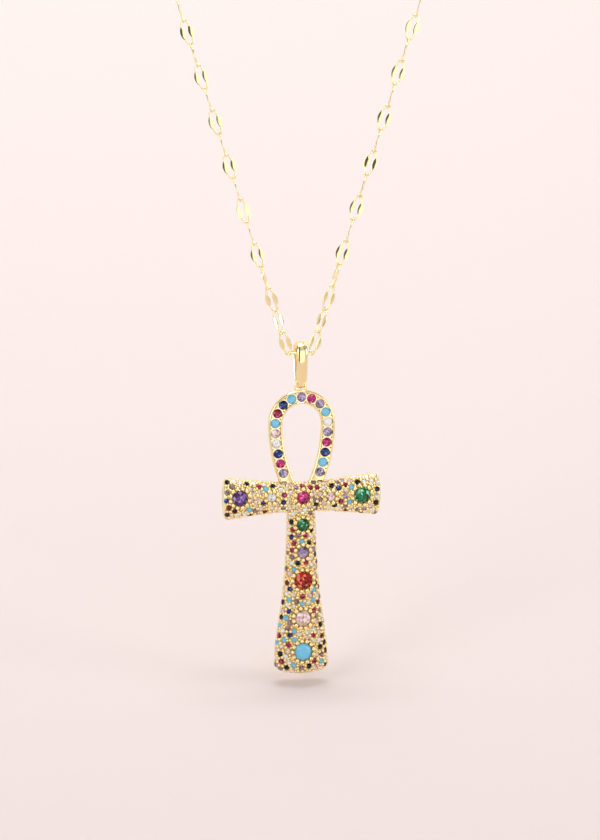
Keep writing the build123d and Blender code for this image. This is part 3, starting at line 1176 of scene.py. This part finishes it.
def makeClasp():
    # turned barrel in two halves with a grip band and a ring at each end
    half, r = clasp["half"], clasp["radius"]
    profile = [
        (-half, 0.3 * r), (-half + 0.02, 0.5 * r), (-half + 0.14, 0.6 * r), (-half + 0.6, 0.93 * r),
        (-half + 0.85, r), (-half + 1.15, r), (-half + 1.2, 0.94 * r), (-half + 1.35, 0.94 * r),
        (-half + 1.4, r), (-0.45, r), (-0.4, 0.94 * r), (-0.32, 0.94 * r), (-0.26, r + 0.12),
        (-0.2, r + 0.15),
    ]
    profile += [(-x, y) for x, y in profile[::-1]]
    around = np.linspace(0, 2 * math.pi, clasp["sides"], endpoint=False)
    rings = [[(x, radius * math.cos(a), radius * math.sin(a)) for a in around] for x, radius in profile]
    parts = [(np.vstack(rings), ringSkin(rings))]
    tilt = math.radians(clasp["neckTilt"])
    down = Vector((0, math.cos(tilt), -math.sin(tilt)))
    side = Vector((1, 0, 0)).cross(down)
    for sign in (-1, 1):
        rings = []
        for a in np.linspace(0, 2 * math.pi, 32, endpoint=False):
            away = Vector((math.cos(a), 0, 0)) + down * math.sin(a)
            middle = Vector((sign * clasp["eyeX"], 0, 0)) + away * clasp["eyeR"]
            rings.append([
                tuple(middle + (away * math.cos(b) + side * math.sin(b)) * clasp["eyeWire"])
                for b in np.linspace(0, 2 * math.pi, 12, endpoint=False)
            ])
        parts.append((np.vstack(rings), ringSkin(rings, closedAlong=True)))
    verts, faces = joinMeshes(parts)
    piece = newPiece("barrelClasp", verts * mm, faces)
    outward(piece)
    piece.data.materials.append(chainGold)
    softShade(piece, 40)
    return piece


claspObject = makeClasp()
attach(claspObject, "chain")
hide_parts("clasp")

# Floor, backdrop and light
studio = {
    "floorDrop": 55.8,  # below the bail's swing
    "paper": (0.59, 0.523, 0.508),
    # glow, glowSlope and glowFrom set the paper's painted glow: its emission strength and the direction
    # in which it grows
    "glow": (0.27, 0.40),
    "glowSlope": (-0.12, 0.25, 1.0),
    "glowFrom": -0.2,
    "walls": ((0, 0.25), (0.25, 0.3), (0.33, 1.0), (0.39, 1.0), (0.40, 0.08), (0.452, 0.08),
              (0.462, 1.0), (0.58, 1.0), (0.62, 0.35), (0.70, 1.0), (0.76, 0.3), (1, 0.25)),
    "levels": ((0, 0.3), (0.16, 0.45), (0.26, 0.95), (0.42, 1.05), (0.62, 1.0), (0.8, 0.45), (1, 0.7)),
    "wallLight": 1.3,
    "front": 160.0,
    "bendFrom": -60.0,
    "bend": 300.0,
    "height": 1200.0,
    "width": 2600.0,
}
# Soft boxes: place from the middle of the pendant, size, radiance
lamps = {
    "overhead": ((0, 10, 470), (300, 200), 7.5),
    "leftBox": ((-760, -560, 300), (300, 620), 3.0),
    "rightBox": ((820, -380, 160), (260, 620), 3.0),
}


def makeFloor():
    # one pale sheet that bends up behind the necklace; its paper carries a painted glow of its own,
    # stronger towards the top
    start, bend = studio["bendFrom"], studio["bend"]
    drop = studio["floorDrop"] + bend - math.sqrt(bend**2 - start**2)
    line = [(-studio["front"], 0.0)]
    line += [(start + bend * math.sin(a), bend * (1 - math.cos(a)))
             for a in np.linspace(0, math.pi / 2, 48)]
    line.append((start + bend, studio["height"]))
    rings = [[(side * studio["width"] / 2, y, z - drop) for side in (-1, 1)] for y, z in line]
    faces = ringSkin(rings, closedAround=False, caps=False)
    sheet = newPiece("paleSheet", fromHang(np.vstack(rings)), faces)
    sheet.data.shade_smooth()
    material = bpy.data.materials.new("paleSheetPaper")
    material.use_nodes = True
    tree = material.node_tree
    shader = tree.nodes["Principled BSDF"]
    shader.inputs["Roughness"].default_value = 0.9
    shader.inputs["Specular IOR Level"].default_value = 0.1
    where = addNode(tree, "ShaderNodeTexCoord")
    cloud = makeNoise(tree, 3.0)
    tint = makeTint(tree, studio["paper"], [c * 0.985 for c in studio["paper"]])
    tree.links.new(where.outputs["Object"], cloud.inputs["Vector"])
    tree.links.new(cloud.outputs["Fac"], tint.inputs["Factor"])
    tree.links.new(tint.outputs["Result"], shader.inputs["Base Color"])
    # painted glow: the paper emits its own colour, more strongly towards the upper back, which
    # brightens the backdrop and lights the necklace
    tree.links.new(tint.outputs["Result"], shader.inputs["Emission Color"])
    slope = addNode(tree, "ShaderNodeVectorMath", operation="DOT_PRODUCT")
    slope.inputs[1].default_value = studio["glowSlope"]
    glow = makeRange(tree, studio["glowFrom"], studio["glowFrom"] + 0.5, studio["glow"])
    tree.links.new(where.outputs["Object"], slope.inputs[0])
    tree.links.new(slope.outputs["Value"], glow.inputs["Value"])
    tree.links.new(glow.outputs["Result"], shader.inputs["Emission Strength"])
    sheet.data.materials.append(material)


def makeLight(name, place, size, radiance):
    # soft box of an even radiance, aimed at the middle of the pendant
    data = bpy.data.lights.new(name, "AREA")
    data.shape, data.size, data.size_y = "RECTANGLE", size[0] * mm, size[1] * mm
    data.energy = radiance * math.pi * data.size * data.size_y
    lamp = bpy.data.objects.new(name, data)
    bpy.context.collection.objects.link(lamp)
    aim = hangPoint + Vector((0, 0, -28 * mm))
    spot = aim + Vector(place) * mm
    lamp.location = spot
    lamp.rotation_euler = (aim - spot).to_track_quat("-Z", "Y").to_euler()


def makeWorld():
    # bright studio walls with one dark gap in front and a darker ground
    world = bpy.data.worlds.new("studioWalls")
    bpy.context.scene.world = world
    world.use_nodes = True
    tree = world.node_tree
    sky = tree.nodes["Background"]
    link = tree.links.new
    where = addNode(tree, "ShaderNodeTexCoord")
    split = addNode(tree, "ShaderNodeSeparateXYZ")
    front = addNode(tree, "ShaderNodeMath", operation="MULTIPLY")
    front.inputs[1].default_value = -1
    turn = addNode(tree, "ShaderNodeMath", operation="ARCTAN2")
    around = makeRange(tree, -math.pi, math.pi)
    height = makeRange(tree, -1, 1)
    walls, levels = (
        makeRamp(tree, [(place, (light,) * 3) for place, light in studio[key]])
        for key in ("walls", "levels")
    )
    both = addNode(tree, "ShaderNodeMix", data_type="RGBA", blend_type="MULTIPLY")
    both.inputs["Factor"].default_value = 1
    link(where.outputs["Generated"], split.inputs["Vector"])
    link(split.outputs["Y"], front.inputs[0])
    link(split.outputs["X"], turn.inputs[0])
    link(front.outputs["Value"], turn.inputs[1])
    link(turn.outputs["Value"], around.inputs["Value"])
    link(split.outputs["Z"], height.inputs["Value"])
    link(around.outputs["Result"], walls.inputs["Fac"])
    link(height.outputs["Result"], levels.inputs["Fac"])
    link(walls.outputs["Color"], both.inputs["A"])
    link(levels.outputs["Color"], both.inputs["B"])
    link(both.outputs["Result"], sky.inputs["Color"])
    sky.inputs["Strength"].default_value = studio["wallLight"]


makeFloor()
makeWorld()
for name, lamp in lamps.items():
    makeLight(name, *lamp)
bpy.context.scene.view_settings.view_transform = "Standard"
print("studio ready")
